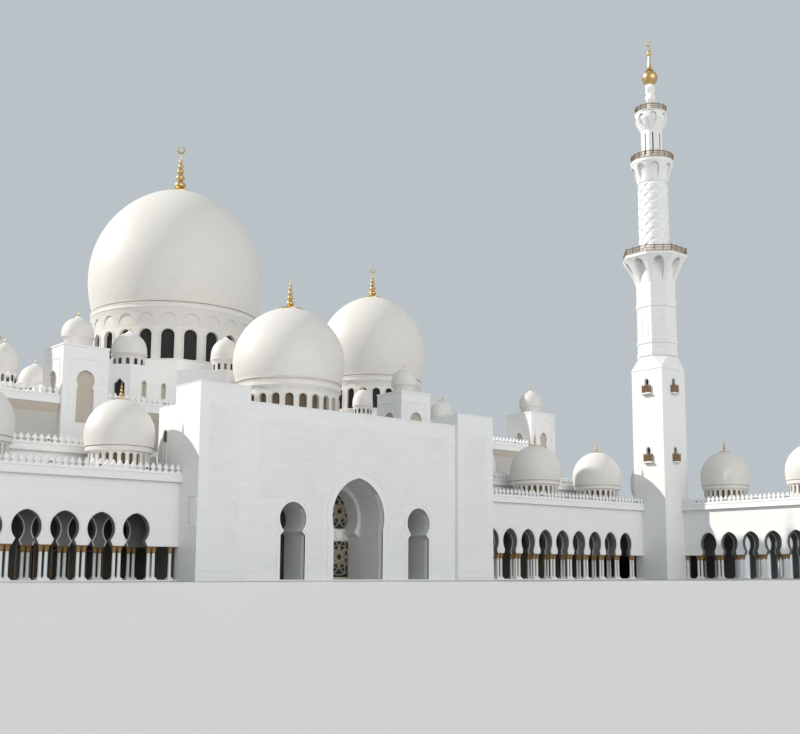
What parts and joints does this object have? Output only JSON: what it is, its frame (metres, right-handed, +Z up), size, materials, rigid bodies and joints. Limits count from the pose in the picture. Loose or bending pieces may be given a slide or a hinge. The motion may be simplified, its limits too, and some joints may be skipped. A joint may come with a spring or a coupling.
{
  "type": "mosque building, scale model at 1:10",
  "caption": "Mosque with bulbous domes on windowed drums, an arched entrance portal, columned arcades with keyhole arches and a tall minaret with galleries.",
  "frame": {"origin": "on the ground under the entrance portal, where the portal axis crosses the outer face line of the arcades", "axes": "+X along the front to the right as seen from outside, +Y into the building, +Z up"},
  "size_m": [15.891, 12.207, 10.9181],
  "materials": {
    "marble": "honed white marble cladding, faintly veined, with joints",
    "dome_marble": "warm white marble in thin horizontal courses",
    "gold": "gilded metal, slightly satin",
    "screen_glass": "dark glass with a white and gold flower tracery"
  },
  "bodies": {
    "root": {"ground_floor": "marble", "portal_front": "marble", "portal_pylon_left": "marble", "portal_pylon_right": "marble", "portal_hall": "marble", "entrance_screen": "screen_glass", "hall_front_wall": "marble", "hall_back_wall": "marble", "hall_left_wall": "marble", "hall_right_wall": "marble", "hall_roof": "marble", "left_aisle": "marble", "right_aisle": "marble", "left_arcade_columns": "marble", "left_arcade_walls": "marble", "right_arcade_columns": "marble", "right_arcade_walls": "marble", "return_arcade_columns": "marble", "return_arcade_walls": "marble", "outer_wall": "marble", "left_arcade_dome_1": "dome_marble", "left_arcade_dome_2": "dome_marble", "right_arcade_dome_1": "dome_marble", "right_arcade_dome_2": "dome_marble", "right_arcade_dome_3": "dome_marble", "corner_dome": "dome_marble", "return_arcade_dome_1": "dome_marble", "return_arcade_dome_2": "dome_marble", "upper_block": "marble", "main_drum": "marble", "main_dome": "dome_marble", "main_finial": "gold", "portal_drum": "marble", "portal_dome": "dome_marble", "portal_finial": "gold", "left_drum": "marble", "left_dome": "dome_marble", "left_finial": "gold", "right_drum": "marble", "right_dome": "dome_marble", "right_finial": "gold", "inner_tower_left": "marble", "inner_tower_right": "marble", "outer_tower_left": "marble", "outer_tower_right": "marble", "minaret_base": "marble", "minaret_octagon": "marble", "minaret_round_shaft": "marble", "minaret_lantern": "marble", "minaret_finial": "gold"}
  },
  "joints": []
}
